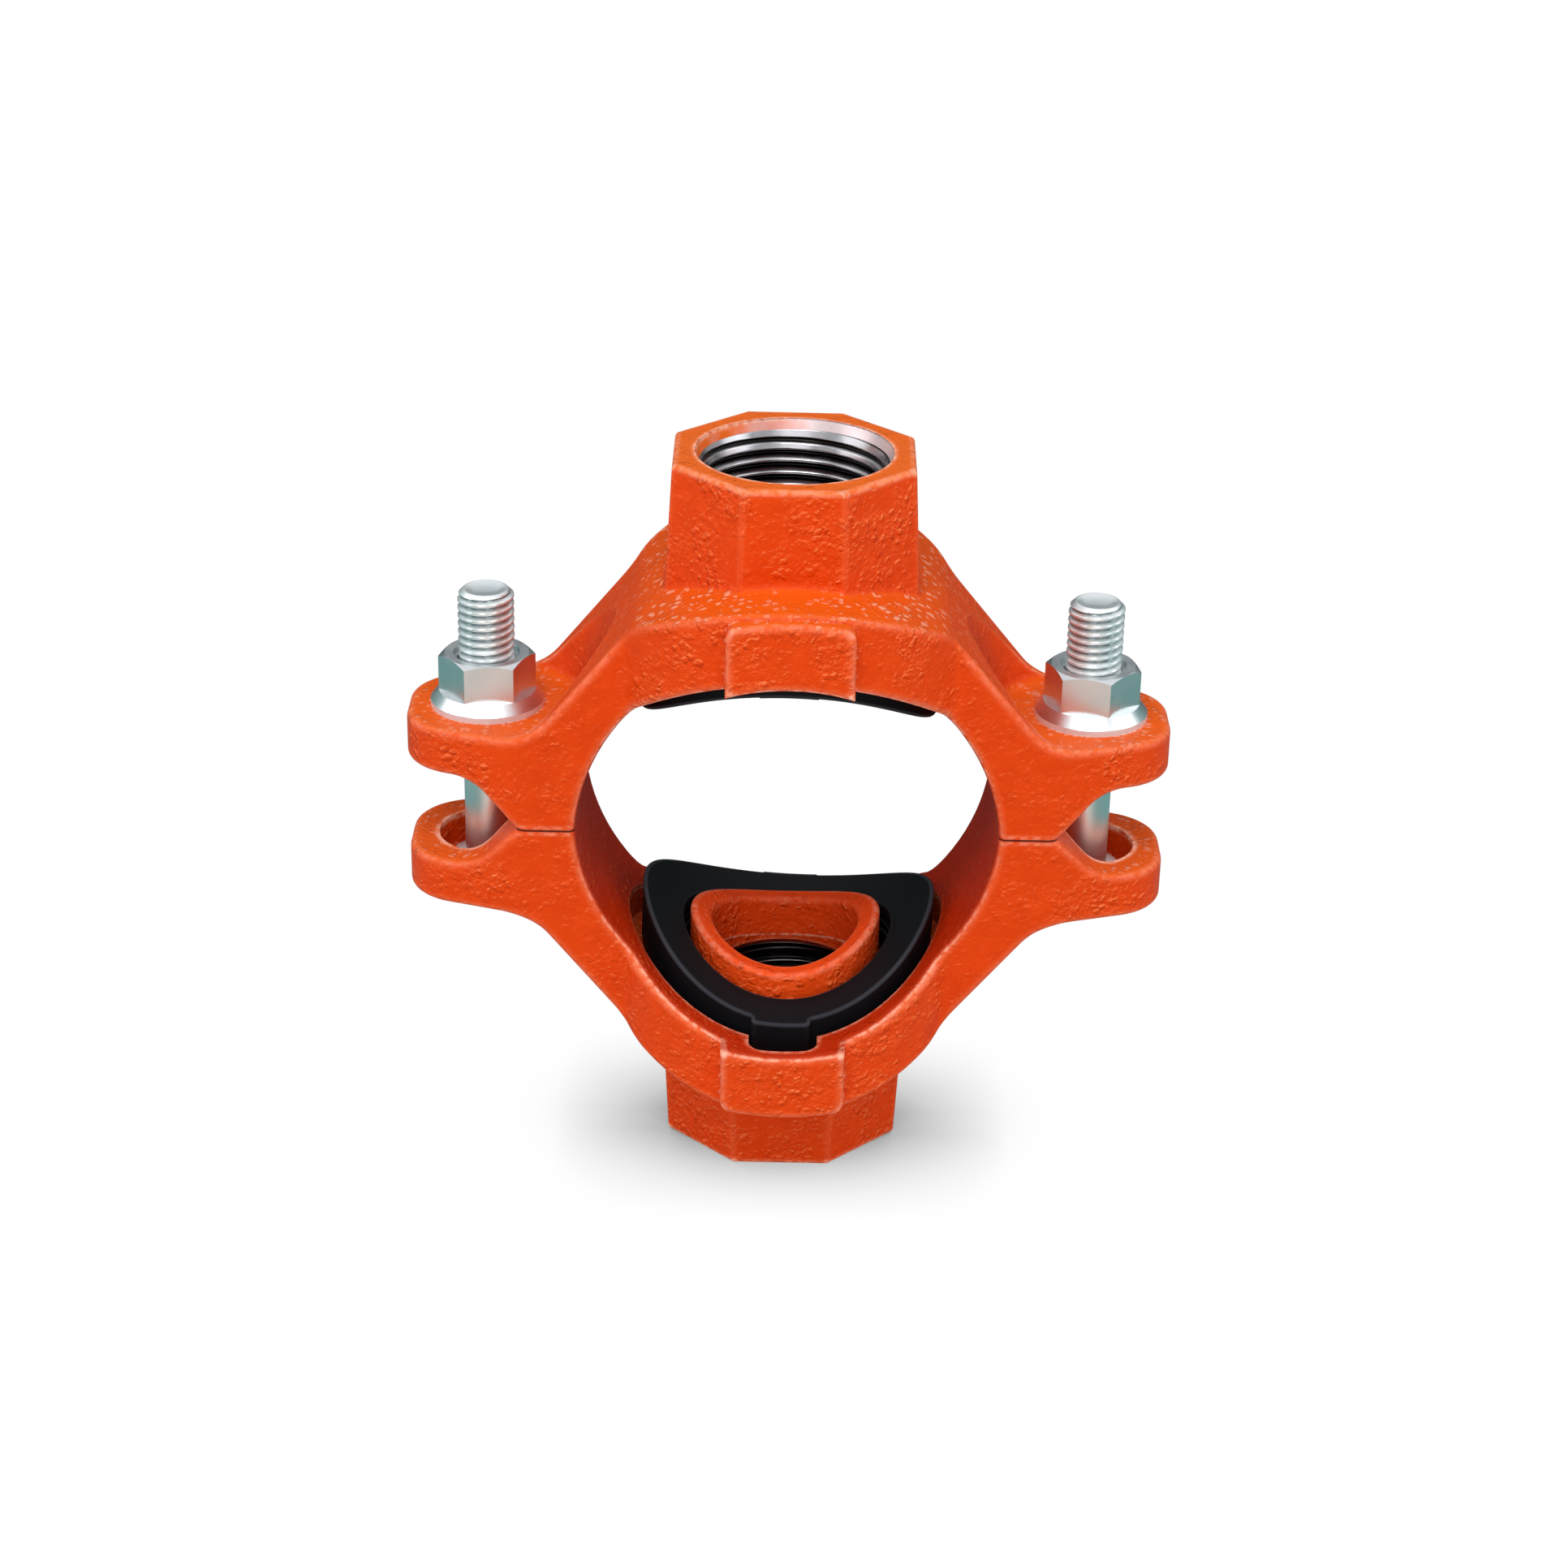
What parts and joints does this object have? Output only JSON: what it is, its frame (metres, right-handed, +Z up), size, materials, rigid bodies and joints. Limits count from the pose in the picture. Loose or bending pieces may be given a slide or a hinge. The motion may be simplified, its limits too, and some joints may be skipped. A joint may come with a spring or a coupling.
{
  "type": "mechanical cross",
  "caption": "Bolted mechanical cross: two cast halves clamp round a run pipe and carry opposed threaded outlets with saddle gaskets.",
  "frame": {"origin": "where the axis of the run pipe crosses the axis of the two outlets, on the parting plane of the two halves", "axes": "+X from the left bolt to the right bolt, +Y along the run pipe towards the rear, +Z up through the upper outlet"},
  "size_m": [0.1364, 0.072, 0.1312],
  "materials": {
    "painted_iron": "orange-red paint on rough cast iron",
    "moulded_rubber": "moulded, matte",
    "zinc_plated_steel": "bright zinc plating"
  },
  "bodies": {
    "lower_half": {"lower_housing": "painted_iron", "lower_gasket": "moulded_rubber", "left_bolt": "zinc_plated_steel", "right_bolt": "zinc_plated_steel"},
    "upper_half": {"upper_housing": "painted_iron", "upper_gasket": "moulded_rubber"},
    "left_nut": {"left_nut": "zinc_plated_steel"},
    "right_nut": {"right_nut": "zinc_plated_steel"}
  },
  "joints": [
    {"name": "halves_open", "type": "slide", "parent": "lower_half", "child": "upper_half", "axis": [0, 0, 1], "range_m": [0, 0.01]},
    {"name": "left_nut_turn", "type": "hinge", "parent": "upper_half", "child": "left_nut", "pos_m": [-0.0541, 0, 0.0169], "axis": [0, 0, 1], "range_deg": [0, 2400]},
    {"name": "right_nut_turn", "type": "hinge", "parent": "upper_half", "child": "right_nut", "pos_m": [0.0541, 0, 0.0169], "axis": [0, 0, 1], "range_deg": [0, 2400]}
  ],
  "couplings": [
    {"joint": "left_nut_turn", "follows": "halves_open", "rad_per_m": 4188.8},
    {"joint": "right_nut_turn", "follows": "halves_open", "rad_per_m": 4188.8}
  ]
}
